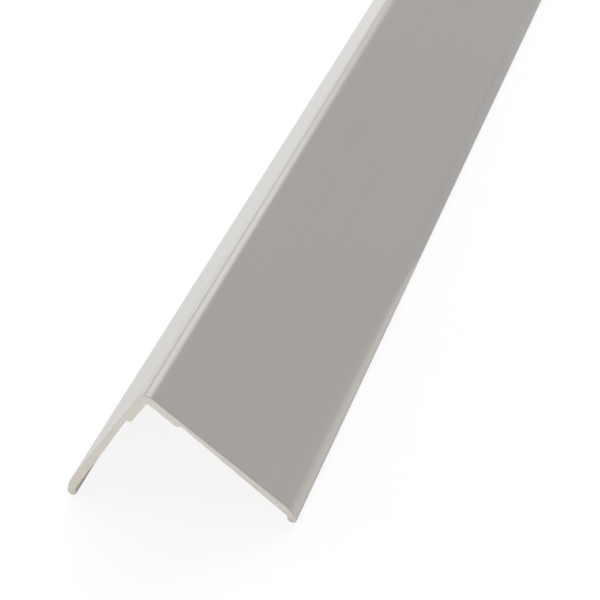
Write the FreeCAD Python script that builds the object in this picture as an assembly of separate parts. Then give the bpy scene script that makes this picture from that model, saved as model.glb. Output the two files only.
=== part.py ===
"""Corner guard moulding: one extruded angle of rigid plastic that covers an outside wall corner.

The guard lies ridge up on the lips of its two legs. Millimetres, +X along the length, +Z up,
origin midway along the length, on the plane of symmetry, at the level of the lips' lowest lines.
"""
import FreeCAD
import Part

import math
import os

# Driving dimensions
length = 1000.0            # one sold length of the stock
leg_width = 50.0           # outside, from the sharp corner to the free edge
leg_angle = 84.0           # between the legs, closed a little so that the lips press on the wall
leg_thickness = 1.4        # beside the corner pad, where each leg is thinnest
lip_root_thickness = 2.6   # where each leg meets its lip, after widening evenly
pad_thickness = 2.6        # thickened corner
pad_width = 12.0           # from the sharp outside corner along each leg
pad_step_run = 0.9         # slope from the corner pad down to the leg, along the leg
nose_radius = 3.0          # outside of the corner
inner_corner_radius = 0.8  # inside of the corner
lip_depth = 3.5            # from the outer face to the end of the lip, which bears on the wall
lip_outer_radius = 12.0    # bend of the outer face towards the lip
lip_end_radius = 1.2       # rounded end of the lip
lip_inner_angle = 45.0     # between the lip's sloping inner face and the leg's outer face

# Corner, worked out from the driving dimensions
half_angle = math.radians(leg_angle / 2.0)
nose_tangent = nose_radius / math.tan(half_angle)
nose_crown_drop = nose_radius / math.sin(half_angle) - nose_radius
pad_tangent = (pad_thickness + inner_corner_radius) / math.tan(half_angle)
inner_crown_drop = (pad_thickness + inner_corner_radius) / math.sin(half_angle) - inner_corner_radius

# Lip, as the centres of its two arcs: distance along the leg, and depth from its outer face
end_along = leg_width - lip_end_radius
end_depth = lip_depth - lip_end_radius
radius_change = lip_outer_radius - lip_end_radius
bend = math.acos((lip_outer_radius - end_depth) / radius_change)  # turn of the outer face
bend_along = end_along - radius_change * math.sin(bend)
inner_slope = math.radians(lip_inner_angle)
end_turn = math.pi + inner_slope  # where the rounded end runs into the inner face
end_rise = end_depth + lip_end_radius * math.cos(inner_slope) - lip_root_thickness
root_along = end_along - lip_end_radius * math.sin(inner_slope) - end_rise / math.tan(inner_slope)

# Height of the sharp corner above the lips' lowest lines
corner_height = end_along * math.cos(half_angle) + end_depth * math.sin(half_angle) + lip_end_radius


def on_leg(side, along, depth):
    """A point of the section: along the leg from the sharp corner, and in from its outer face."""
    across = along * math.sin(half_angle) - depth * math.cos(half_angle)
    drop = along * math.cos(half_angle) + depth * math.sin(half_angle)
    return FreeCAD.Vector(-length / 2.0, side * across, corner_height - drop)


def on_symmetry_plane(drop):
    """A point of the section straight below the sharp corner."""
    return FreeCAD.Vector(-length / 2.0, 0.0, corner_height - drop)


def on_bend(side, turn):
    """A point of the lip's outer bend, at an angle from where the outer face ends."""
    along = bend_along + lip_outer_radius * math.sin(turn)
    depth = lip_outer_radius - lip_outer_radius * math.cos(turn)
    return on_leg(side, along, depth)


def on_lip_end(side, turn):
    """A point of the lip's rounded end, at the same kind of angle."""
    along = end_along + lip_end_radius * math.sin(turn)
    depth = end_depth - lip_end_radius * math.cos(turn)
    return on_leg(side, along, depth)


def line(start, end):
    return Part.LineSegment(start, end).toShape()


def arc(start, middle, end):
    return Part.Arc(start, middle, end).toShape()


def leg_edges(side):
    """One leg's outline, from the nose round the lip to the inner corner."""
    nose_end = on_leg(side, nose_tangent, 0.0)
    face_end = on_bend(side, 0.0)
    bend_middle = on_bend(side, bend / 2.0)
    bend_end = on_bend(side, bend)
    lip_middle = on_lip_end(side, (bend + end_turn) / 2.0)
    lip_end = on_lip_end(side, end_turn)
    recess_outer_end = on_leg(side, root_along, lip_root_thickness)
    recess_inner_end = on_leg(side, pad_width + pad_step_run, leg_thickness)
    pad_end = on_leg(side, pad_width, pad_thickness)
    pad_start = on_leg(side, pad_tangent, pad_thickness)
    return [
        line(nose_end, face_end),
        arc(face_end, bend_middle, bend_end),
        arc(bend_end, lip_middle, lip_end),
        line(lip_end, recess_outer_end),
        line(recess_outer_end, recess_inner_end),
        line(recess_inner_end, pad_end),
        line(pad_end, pad_start),
    ]


def section():
    """The closed outline of the guard, at its end of negative X."""
    nose = arc(
        on_leg(-1, nose_tangent, 0.0),
        on_symmetry_plane(nose_crown_drop),
        on_leg(1, nose_tangent, 0.0),
    )
    inner_corner = arc(
        on_leg(1, pad_tangent, pad_thickness),
        on_symmetry_plane(inner_crown_drop),
        on_leg(-1, pad_tangent, pad_thickness),
    )
    edges = [nose, *leg_edges(1), inner_corner, *leg_edges(-1)]
    return Part.Face(Part.Wire(Part.__sortEdges__(edges)))


corner_guard = section().extrude(FreeCAD.Vector(length, 0.0, 0.0))

os.makedirs("parts", exist_ok=True)
corner_guard.exportStep("parts/corner_guard.step")
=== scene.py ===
"""Looks of the corner guard moulding: a grey satin skin over creamy plastic, sawn off at both ends.

Metres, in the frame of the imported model: +X along the length, +Z up through the ridge.
"""

import math
import random

import bpy
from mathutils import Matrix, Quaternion, Vector


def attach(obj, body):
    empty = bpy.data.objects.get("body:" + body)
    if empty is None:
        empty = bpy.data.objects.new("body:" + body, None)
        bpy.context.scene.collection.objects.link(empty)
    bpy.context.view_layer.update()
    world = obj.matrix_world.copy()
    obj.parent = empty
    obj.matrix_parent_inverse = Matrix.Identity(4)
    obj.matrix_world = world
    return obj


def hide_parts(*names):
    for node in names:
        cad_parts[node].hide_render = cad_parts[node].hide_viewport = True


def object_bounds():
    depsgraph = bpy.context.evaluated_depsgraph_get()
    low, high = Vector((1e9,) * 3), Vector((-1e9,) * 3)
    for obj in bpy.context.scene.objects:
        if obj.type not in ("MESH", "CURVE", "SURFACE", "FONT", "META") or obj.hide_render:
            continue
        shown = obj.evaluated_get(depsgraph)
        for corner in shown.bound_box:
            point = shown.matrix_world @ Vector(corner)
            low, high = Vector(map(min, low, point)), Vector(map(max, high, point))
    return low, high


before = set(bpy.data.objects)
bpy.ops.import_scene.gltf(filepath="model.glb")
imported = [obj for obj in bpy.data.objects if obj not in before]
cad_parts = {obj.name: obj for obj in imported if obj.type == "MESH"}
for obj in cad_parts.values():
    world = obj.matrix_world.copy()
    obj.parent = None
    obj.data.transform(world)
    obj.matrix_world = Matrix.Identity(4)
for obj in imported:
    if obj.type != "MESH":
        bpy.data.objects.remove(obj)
cad_low, cad_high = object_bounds()

MM = 0.001

# Section of the guard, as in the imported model
LEG_WIDTH = 50.0 * MM
LEG_ANGLE = math.radians(84.0)
LEG_THICKNESS = 1.4 * MM
LIP_ROOT_THICKNESS = 2.6 * MM
PAD_THICKNESS = 2.6 * MM
PAD_WIDTH = 12.0 * MM
PAD_STEP_RUN = 0.9 * MM
NOSE_RADIUS = 3.0 * MM
INNER_CORNER_RADIUS = 0.8 * MM
LIP_DEPTH = 3.5 * MM
LIP_OUTER_RADIUS = 12.0 * MM
LIP_END_RADIUS = 1.2 * MM
LIP_INNER_ANGLE = math.radians(45.0)

# Fineness of the mesh, and the limits of its smooth shading and of its corners' normals
ARC_STEP = math.radians(3.0)
FLAT_STEP = 1.0 * MM
LENGTH_STEPS = 40
BREAK_STEP = math.pi / 6.0
SHARP_ANGLE = math.radians(25.0)
LEAST_COSINE = 0.5

# Sawn ends: the break of their edges, the share by which it varies along them, and the distance
# from the end beyond which the faces run true
SKIN_EDGE_BREAK = 0.05 * MM
BARE_EDGE_BREAK = 0.35 * MM
EDGE_BREAK_SPREAD = 0.4
EDGE_HOLD = 0.7 * MM

# Saw: the centre of its round blade, across and up, and the pitch of its marks
BLADE_CENTRE = (-90.0 * MM, 120.0 * MM)
SAW_PITCH = 0.45 * MM

# Camera, at the photograph's angle
CAMERA_PLACE = Vector((-0.7440, -0.1736, 0.2694))
CAMERA_AIM = Vector((-0.4380, -0.0145, 0.0200))
CAMERA_ROLL = math.radians(-12.97)
CAMERA_LENS = 94.48
CAMERA_SENSOR = 36.0

# Floor: half its width, its grey, and the share of plain white in what is seen of it
FLOOR_REACH = 40.0
FLOOR_GREY = 0.85
FLOOR_WHITE_SHARE = 0.88

# Light from all round
WORLD_STRENGTH = 0.56

# Bright card beside the lip: its height above the floor, its gap to the lip, its greatest width,
# how far it runs in front of the near end and along the guard, and its strength
CARD_LEVEL = 0.6 * MM
CARD_GAP = 1.2 * MM
CARD_WIDTH = 51.8 * MM
CARD_LEAD = 20.0 * MM
CARD_RUN = 110.0 * MM
CARD_STRENGTH = 2.8

# Materials of the mesh, in the order in which they are added to it
SKIN, CORE, SAWN_SKIN, SAWN_CORE = range(4)


# Section outline

half_angle = LEG_ANGLE / 2.0
radius_change = LIP_OUTER_RADIUS - LIP_END_RADIUS
lip_end_along = LEG_WIDTH - LIP_END_RADIUS
lip_end_depth = LIP_DEPTH - LIP_END_RADIUS
lip_bend = math.acos((LIP_OUTER_RADIUS - lip_end_depth) / radius_change)
lip_bend_along = lip_end_along - radius_change * math.sin(lip_bend)
lip_end_turn = math.pi + LIP_INNER_ANGLE
nose_tangent = NOSE_RADIUS / math.tan(half_angle)
pad_tangent = (PAD_THICKNESS + INNER_CORNER_RADIUS) / math.tan(half_angle)
nose_centre_drop = NOSE_RADIUS / math.sin(half_angle)
inner_centre_drop = (PAD_THICKNESS + INNER_CORNER_RADIUS) / math.sin(half_angle)
corner_height = cad_high.z + nose_centre_drop - NOSE_RADIUS


def spread(start, end, step):
    """Even values from start to end, no further apart than step."""
    count = max(1, math.ceil(abs(end - start) / step))
    return [start + (end - start) * i / count for i in range(count + 1)]


def on_leg(side, along, depth):
    """Across and up, from a distance along a leg's outer face and a depth in from it."""
    across = along * math.sin(half_angle) - depth * math.cos(half_angle)
    drop = along * math.cos(half_angle) + depth * math.sin(half_angle)
    return side * across, corner_height - drop


def flat(side, start, end):
    """Points of a straight stretch between two (along, depth) places."""
    run = math.dist(start, end)
    shares = spread(0.0, 1.0, FLAT_STEP / run)
    return [
        on_leg(side, start[0] + (end[0] - start[0]) * s, start[1] + (end[1] - start[1]) * s)
        for s in shares
    ]


def lip_arc(side, along, depth, radius, turn_from, turn_to):
    """Points of an arc of the lip round a centre, with turns counted from the outer face's normal."""
    return [
        on_leg(side, along + radius * math.sin(turn), depth - radius * math.cos(turn))
        for turn in spread(turn_from, turn_to, ARC_STEP)
    ]


def corner_arc(drop, radius, turn_from, turn_to):
    """Points of an arc round a centre straight below the sharp corner, with turns from upright."""
    return [
        (radius * math.sin(turn), corner_height - drop + radius * math.cos(turn))
        for turn in spread(turn_from, turn_to, ARC_STEP)
    ]


def leg_stretches(side):
    """One leg's outline from the nose to the inner corner, in stretches of skin or bare plastic."""
    lip_inner = (
        lip_end_along + LIP_END_RADIUS * math.sin(lip_end_turn),
        lip_end_depth - LIP_END_RADIUS * math.cos(lip_end_turn),
    )
    lip_rise = lip_inner[1] - LIP_ROOT_THICKNESS
    recess_outer = (lip_inner[0] - lip_rise / math.tan(LIP_INNER_ANGLE), LIP_ROOT_THICKNESS)
    recess_inner = (PAD_WIDTH + PAD_STEP_RUN, LEG_THICKNESS)
    pad_end = (PAD_WIDTH, PAD_THICKNESS)
    pad_start = (pad_tangent, PAD_THICKNESS)
    face = flat(side, (nose_tangent, 0.0), (lip_bend_along, 0.0))
    bend = lip_arc(side, lip_bend_along, LIP_OUTER_RADIUS, LIP_OUTER_RADIUS, 0.0, lip_bend)
    lip_end = lip_arc(side, lip_end_along, lip_end_depth, LIP_END_RADIUS, lip_bend, lip_end_turn)
    return [
        (face, True),
        (bend, True),
        (lip_end, True),
        (flat(side, lip_inner, recess_outer), False),
        (flat(side, recess_outer, recess_inner), False),
        (flat(side, recess_inner, pad_end), False),
        (flat(side, pad_end, pad_start), False),
    ]


def section_outline():
    """The closed outline, as points with whether skin or bare plastic follows each."""
    crown = math.pi / 2.0 - half_angle
    nose = (corner_arc(nose_centre_drop, NOSE_RADIUS, -crown, crown), True)
    inner = (corner_arc(inner_centre_drop, INNER_CORNER_RADIUS, crown, -crown), False)
    back = [(points[::-1], skinned) for points, skinned in reversed(leg_stretches(-1))]
    outline = []
    for points, skinned in [nose, *leg_stretches(1), inner, *back]:
        outline += [(point, skinned) for point in points[:-1]]
    return outline


def outward(outline, index):
    """The mean normal of the outline at a point, lengthened so that both sides move evenly.

    The least cosine keeps it under twice its length at a sharp point.
    """
    before = Vector(outline[index - 1][0])
    here = Vector(outline[index][0])
    after = Vector(outline[(index + 1) % len(outline)][0])
    first = (here - before).normalized()
    second = (after - here).normalized()
    mean = (first + second).normalized()
    normal = Vector((-mean.y, mean.x))
    return normal / max(LEAST_COSINE, mean.dot(first))


# Mesh

def edge_breaks(outline):
    """How far the edge is broken at each point of the outline, varied and then smoothed."""
    rough = []
    for _, skinned in outline:
        mean = SKIN_EDGE_BREAK if skinned else BARE_EDGE_BREAK
        rough.append(mean * (1.0 + EDGE_BREAK_SPREAD * random.uniform(-1.0, 1.0)))
    count = len(outline)
    return [(rough[i - 1] + 2.0 * rough[i] + rough[(i + 1) % count]) / 4.0 for i in range(count)]


def end_rings(outline, end, inwards):
    """Rings of points from where the faces run true, over the broken edge, to the cut."""
    breaks = edge_breaks(outline)
    rings = [[(end + inwards * EDGE_HOLD, across, up) for (across, up), _ in outline]]
    for turn in spread(0.0, math.pi / 2.0, BREAK_STEP):
        ring = []
        for i, ((across, up), _) in enumerate(outline):
            normal = outward(outline, i)
            lift = breaks[i] * (1.0 - math.cos(turn))
            reach = breaks[i] * (1.0 - math.sin(turn))
            ring.append((end + inwards * reach, across - normal.x * lift, up - normal.y * lift))
        rings.append(ring)
    return rings


def build_moulding():
    """The whole guard as one closed mesh."""
    outline = section_outline()
    count = len(outline)
    near = end_rings(outline, cad_low.x, 1.0)[::-1]
    far = end_rings(outline, cad_high.x, -1.0)
    stations = spread(cad_low.x, cad_high.x, (cad_high.x - cad_low.x) / LENGTH_STEPS)[1:-1]
    middle = [[(x, across, up) for (across, up), _ in outline] for x in stations]
    rings = near + middle + far
    corners = [point for ring in rings for point in ring]
    # Strips between these two are whole faces, and those beyond them are broken edges
    first_whole = len(near) - 2
    last_whole = len(rings) - len(far)
    faces = []
    materials = []
    for r in range(len(rings) - 1):
        sawn = r < first_whole or r > last_whole
        for i, (_, skinned) in enumerate(outline):
            j = (i + 1) % count
            faces.append([r * count + j, r * count + i, (r + 1) * count + i, (r + 1) * count + j])
            if sawn:
                materials.append(SAWN_SKIN if skinned else SAWN_CORE)
            else:
                materials.append(SKIN if skinned else CORE)
    near_cut = list(range(count))
    far_cut = list(range(len(corners) - count, len(corners)))[::-1]
    faces += [near_cut, far_cut]
    materials += [SAWN_CORE, SAWN_CORE]
    mesh = bpy.data.meshes.new("guard_moulding")
    mesh.from_pydata(corners, [], faces)
    mesh.polygons.foreach_set("material_index", materials)
    mesh.polygons.foreach_set("use_smooth", [True] * len(faces))
    mesh.set_sharp_from_angle(angle=SHARP_ANGLE)
    guard = bpy.data.objects.new("guard_moulding", mesh)
    bpy.context.scene.collection.objects.link(guard)
    return guard


# Materials

class Finish:
    """A material with one shader, and the few kinds of nodes that drive it."""

    def __init__(self, name):
        self.material = bpy.data.materials.new(name)
        self.material.use_nodes = True
        self.nodes = self.material.node_tree.nodes
        self.links = self.material.node_tree.links
        self.shader = self.nodes["Principled BSDF"]
        self.place = self.nodes.new("ShaderNodeTexCoord").outputs["Object"]

    def noise(self, along, across, detail=2.0):
        """Noise with so many features to a metre along the length and across it."""
        scale = self.nodes.new("ShaderNodeMapping")
        scale.inputs["Scale"].default_value = (along, across, across)
        texture = self.nodes.new("ShaderNodeTexNoise")
        texture.inputs["Scale"].default_value = 1.0
        texture.inputs["Detail"].default_value = detail
        self.links.new(self.place, scale.inputs["Vector"])
        self.links.new(scale.outputs["Vector"], texture.inputs["Vector"])
        return texture.outputs["Fac"]

    def saw_marks(self, centre, pitch):
        """Rings about a point beside the section, as a round blade leaves them on a cut."""
        shift = self.nodes.new("ShaderNodeMapping")
        shift.inputs["Location"].default_value = (0.0, -centre[0], -centre[1])
        texture = self.nodes.new("ShaderNodeTexWave")
        texture.wave_type = "RINGS"
        texture.rings_direction = "X"
        # At scale 1 the texture has 20 radians to a metre, and a ring takes a full turn of them
        texture.inputs["Scale"].default_value = 2.0 * math.pi / (20.0 * pitch)
        texture.inputs["Distortion"].default_value = 3.0
        texture.inputs["Detail"].default_value = 3.0
        texture.inputs["Detail Scale"].default_value = 2.0
        self.links.new(self.place, shift.inputs["Vector"])
        self.links.new(shift.outputs["Vector"], texture.inputs["Vector"])
        return texture.outputs["Fac"]

    def mix(self, *parts):
        """Patterns added up, each as (pattern, weight)."""
        total = None
        for pattern, weight in parts:
            node = self.nodes.new("ShaderNodeMath")
            node.operation = "MULTIPLY_ADD"
            self.links.new(pattern, node.inputs[0])
            node.inputs[1].default_value = weight
            node.inputs[2].default_value = 0.0
            if total:
                self.links.new(total, node.inputs[2])
            total = node.outputs["Value"]
        return total

    def colour(self, pattern, dark, light):
        """The base colour, from dark to light over a pattern's middle range."""
        ramp = self.nodes.new("ShaderNodeValToRGB")
        ramp.color_ramp.elements[0].position = 0.25
        ramp.color_ramp.elements[0].color = (*dark, 1.0)
        ramp.color_ramp.elements[1].position = 0.75
        ramp.color_ramp.elements[1].color = (*light, 1.0)
        self.links.new(pattern, ramp.inputs["Fac"])
        self.links.new(ramp.outputs["Color"], self.shader.inputs["Base Color"])

    def roughness(self, pattern, low, high):
        """The roughness, from low to high over a pattern's middle range."""
        node = self.nodes.new("ShaderNodeMapRange")
        node.inputs["From Min"].default_value = 0.3
        node.inputs["From Max"].default_value = 0.7
        node.inputs["To Min"].default_value = low
        node.inputs["To Max"].default_value = high
        self.links.new(pattern, node.inputs["Value"])
        self.links.new(node.outputs["Result"], self.shader.inputs["Roughness"])

    def relief(self, pattern, height):
        """Fine relief, from the lowest to the highest value of a pattern."""
        bump = self.nodes.new("ShaderNodeBump")
        bump.inputs["Distance"].default_value = height
        self.links.new(pattern, bump.inputs["Height"])
        self.links.new(bump.outputs["Normal"], self.shader.inputs["Normal"])


def skin_material():
    """Grey satin skin, with faint lines of the die along it."""
    finish = Finish("grey_satin_skin")
    lines = finish.noise(along=2.0, across=450.0, detail=4.0)
    fine_lines = finish.noise(along=5.0, across=2200.0)
    clouds = finish.noise(along=18.0, across=30.0)
    grain = finish.noise(along=3000.0, across=3000.0)
    finish.colour(
        finish.mix((lines, 0.4), (fine_lines, 0.15), (clouds, 0.35), (grain, 0.1)),
        dark=(0.367, 0.350, 0.336),
        light=(0.393, 0.376, 0.362),
    )
    finish.roughness(finish.mix((lines, 0.5), (grain, 0.5)), low=0.27, high=0.35)
    finish.relief(finish.mix((lines, 0.5), (fine_lines, 0.3), (grain, 0.2)), height=0.010 * MM)
    return finish.material


def core_material():
    """Bare cream plastic of the inner faces, matter and more lined than the skin."""
    finish = Finish("bare_cream_plastic")
    lines = finish.noise(along=1.5, across=700.0, detail=5.0)
    clouds = finish.noise(along=20.0, across=60.0)
    grain = finish.noise(along=1800.0, across=1800.0, detail=3.0)
    finish.colour(
        finish.mix((lines, 0.5), (clouds, 0.3), (grain, 0.2)),
        dark=(0.630, 0.590, 0.520),
        light=(0.750, 0.710, 0.640),
    )
    finish.roughness(finish.mix((lines, 0.5), (grain, 0.5)), low=0.42, high=0.58)
    finish.relief(finish.mix((lines, 0.7), (grain, 0.3)), height=0.025 * MM)
    return finish.material


def sawn_material(name, dark, light):
    """A cut face, with the blade's curved marks and a fuzz of torn plastic."""
    finish = Finish(name)
    marks = finish.saw_marks(BLADE_CENTRE, SAW_PITCH)
    fuzz = finish.noise(along=2500.0, across=2500.0, detail=4.0)
    clouds = finish.noise(along=300.0, across=300.0)
    finish.colour(finish.mix((marks, 0.25), (fuzz, 0.4), (clouds, 0.35)), dark, light)
    finish.roughness(fuzz, low=0.6, high=0.8)
    finish.relief(finish.mix((marks, 0.6), (fuzz, 0.4)), height=0.04 * MM)
    return finish.material


def sawn_skin_material():
    """The skin where the saw went through it."""
    return sawn_material("sawn_grey_skin", dark=(0.34, 0.325, 0.305), light=(0.42, 0.405, 0.385))


def sawn_core_material():
    """The cream plastic of the cut faces."""
    return sawn_material("sawn_cream_plastic", dark=(0.635, 0.606, 0.562), light=(0.765, 0.736, 0.682))


# Stage

def camera():
    """The camera, placed, aimed and rolled as for the photograph."""
    data = bpy.data.cameras.new("camera")
    data.lens = CAMERA_LENS
    data.sensor_width = CAMERA_SENSOR
    view = bpy.data.objects.new("camera", data)
    view.location = CAMERA_PLACE
    aim = (CAMERA_AIM - CAMERA_PLACE).to_track_quat("-Z", "Y")
    view.rotation_mode = "QUATERNION"
    view.rotation_quaternion = aim @ Quaternion((0.0, 0.0, 1.0), CAMERA_ROLL)
    bpy.context.scene.collection.objects.link(view)
    bpy.context.scene.camera = view


def stage_piece(name, corners, material):
    """A flat piece of the stage, with one face."""
    mesh = bpy.data.meshes.new(name)
    mesh.from_pydata(corners, [], [list(range(len(corners)))])
    mesh.materials.append(material)
    piece = bpy.data.objects.new(name, mesh)
    bpy.context.scene.collection.objects.link(piece)
    return piece


def bare_material(name):
    """A new material with only an output node, and that node's socket for a shader."""
    material = bpy.data.materials.new(name)
    material.use_nodes = True
    nodes = material.node_tree.nodes
    nodes.clear()
    output = nodes.new("ShaderNodeOutputMaterial")
    return material, output.inputs["Surface"]


def seen_rays(nodes, links):
    """One for rays that show the floor: straight to the camera, mirrored or let through."""
    path = nodes.new("ShaderNodeLightPath")
    total = path.outputs["Is Camera Ray"]
    for name in ("Is Glossy Ray", "Is Transmission Ray"):
        larger = nodes.new("ShaderNodeMath")
        larger.operation = "MAXIMUM"
        links.new(total, larger.inputs[0])
        links.new(path.outputs[name], larger.inputs[1])
        total = larger.outputs[0]
    return total


def floor_material():
    """A pale floor that looks white and keeps a soft shadow."""
    material, surface = bare_material("pale_floor")
    nodes = material.node_tree.nodes
    links = material.node_tree.links
    diffuse = nodes.new("ShaderNodeBsdfDiffuse")
    diffuse.inputs["Color"].default_value = (FLOOR_GREY, FLOOR_GREY, FLOOR_GREY, 1.0)
    glow = nodes.new("ShaderNodeEmission")
    glow.inputs["Strength"].default_value = 1.0
    share = nodes.new("ShaderNodeMath")
    share.operation = "MULTIPLY"
    share.inputs[1].default_value = FLOOR_WHITE_SHARE
    links.new(seen_rays(nodes, links), share.inputs[0])
    mix = nodes.new("ShaderNodeMixShader")
    links.new(share.outputs[0], mix.inputs["Fac"])
    links.new(diffuse.outputs[0], mix.inputs[1])
    links.new(glow.outputs[0], mix.inputs[2])
    links.new(mix.outputs[0], surface)
    return material


def floor():
    """The floor, out to the horizon."""
    reach = FLOOR_REACH
    corners = [(-reach, -reach, 0.0), (reach, -reach, 0.0), (reach, reach, 0.0), (-reach, reach, 0.0)]
    stage_piece("floor", corners, floor_material())


def soft_light(name, azimuth, elevation, distance, size, radiance, colour):
    """A soft box that faces the guard's near end, from a direction counted from +X towards +Y.

    It is as bright to look at as its radiance says, whatever its size.
    """
    near_end = Vector((cad_low.x, 0.0, cad_high.z))
    level = math.cos(math.radians(elevation))
    towards = Vector((
        level * math.cos(math.radians(azimuth)),
        level * math.sin(math.radians(azimuth)),
        math.sin(math.radians(elevation)),
    ))
    data = bpy.data.lights.new(name, "AREA")
    data.shape = "RECTANGLE"
    data.size, data.size_y = size
    data.energy = radiance * math.pi * size[0] * size[1]
    data.color = colour
    lamp = bpy.data.objects.new(name, data)
    lamp.location = near_end + towards * distance
    lamp.rotation_mode = "QUATERNION"
    lamp.rotation_quaternion = (-towards).to_track_quat("-Z", "Y")
    bpy.context.scene.collection.objects.link(lamp)


def card_material():
    """A warm white that shines by itself."""
    material, surface = bare_material("bright_card")
    glow = material.node_tree.nodes.new("ShaderNodeEmission")
    glow.inputs["Color"].default_value = (1.0, 0.93, 0.86, 1.0)
    glow.inputs["Strength"].default_value = CARD_STRENGTH
    material.node_tree.links.new(glow.outputs[0], surface)
    return material


def lip_sheen():
    """A bright card on the floor beside the right lip's near end, seen only as a sheen on the lip."""
    inner = cad_low.y - CARD_GAP
    outer = inner - CARD_WIDTH
    near = cad_low.x - CARD_LEAD
    far = cad_low.x + CARD_RUN
    corners = [(near, inner, CARD_LEVEL), (near, outer, CARD_LEVEL), (far, inner, CARD_LEVEL)]
    card = stage_piece("lip_sheen", corners, card_material())
    card.visible_camera = False
    card.visible_diffuse = False
    card.visible_shadow = False


def surroundings():
    """Even light from all round."""
    world = bpy.data.worlds.new("studio")
    bpy.context.scene.world = world
    world.use_nodes = True
    background = world.node_tree.nodes["Background"]
    background.inputs["Color"].default_value = (1.0, 1.0, 1.0, 1.0)
    background.inputs["Strength"].default_value = WORLD_STRENGTH


def lights():
    """Four soft boxes round the near end, and the card beside the lip."""
    soft_light(
        "back", azimuth=1.0, elevation=47.0, distance=1.5,
        size=(1.1, 0.65), radiance=5.75, colour=(0.96, 0.98, 1.0),
    )
    soft_light(
        "left", azimuth=72.0, elevation=40.0, distance=1.2,
        size=(0.9, 0.9), radiance=2.6, colour=(1.0, 0.97, 0.89),
    )
    soft_light(
        "low", azimuth=45.0, elevation=12.0, distance=1.5,
        size=(0.7, 0.45), radiance=2.3, colour=(0.88, 0.93, 1.0),
    )
    soft_light(
        "front", azimuth=-150.0, elevation=9.0, distance=0.4,
        size=(0.25, 0.25), radiance=1.65, colour=(1.0, 0.92, 0.80),
    )
    lip_sheen()


# The guard, dressed and set on the stage

random.seed(3)
moulding = build_moulding()
for material in (skin_material(), core_material(), sawn_skin_material(), sawn_core_material()):
    moulding.data.materials.append(material)
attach(moulding, "root")
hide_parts("corner_guard")

floor()
surroundings()
lights()
camera()

bpy.context.scene.view_settings.view_transform = "Standard"
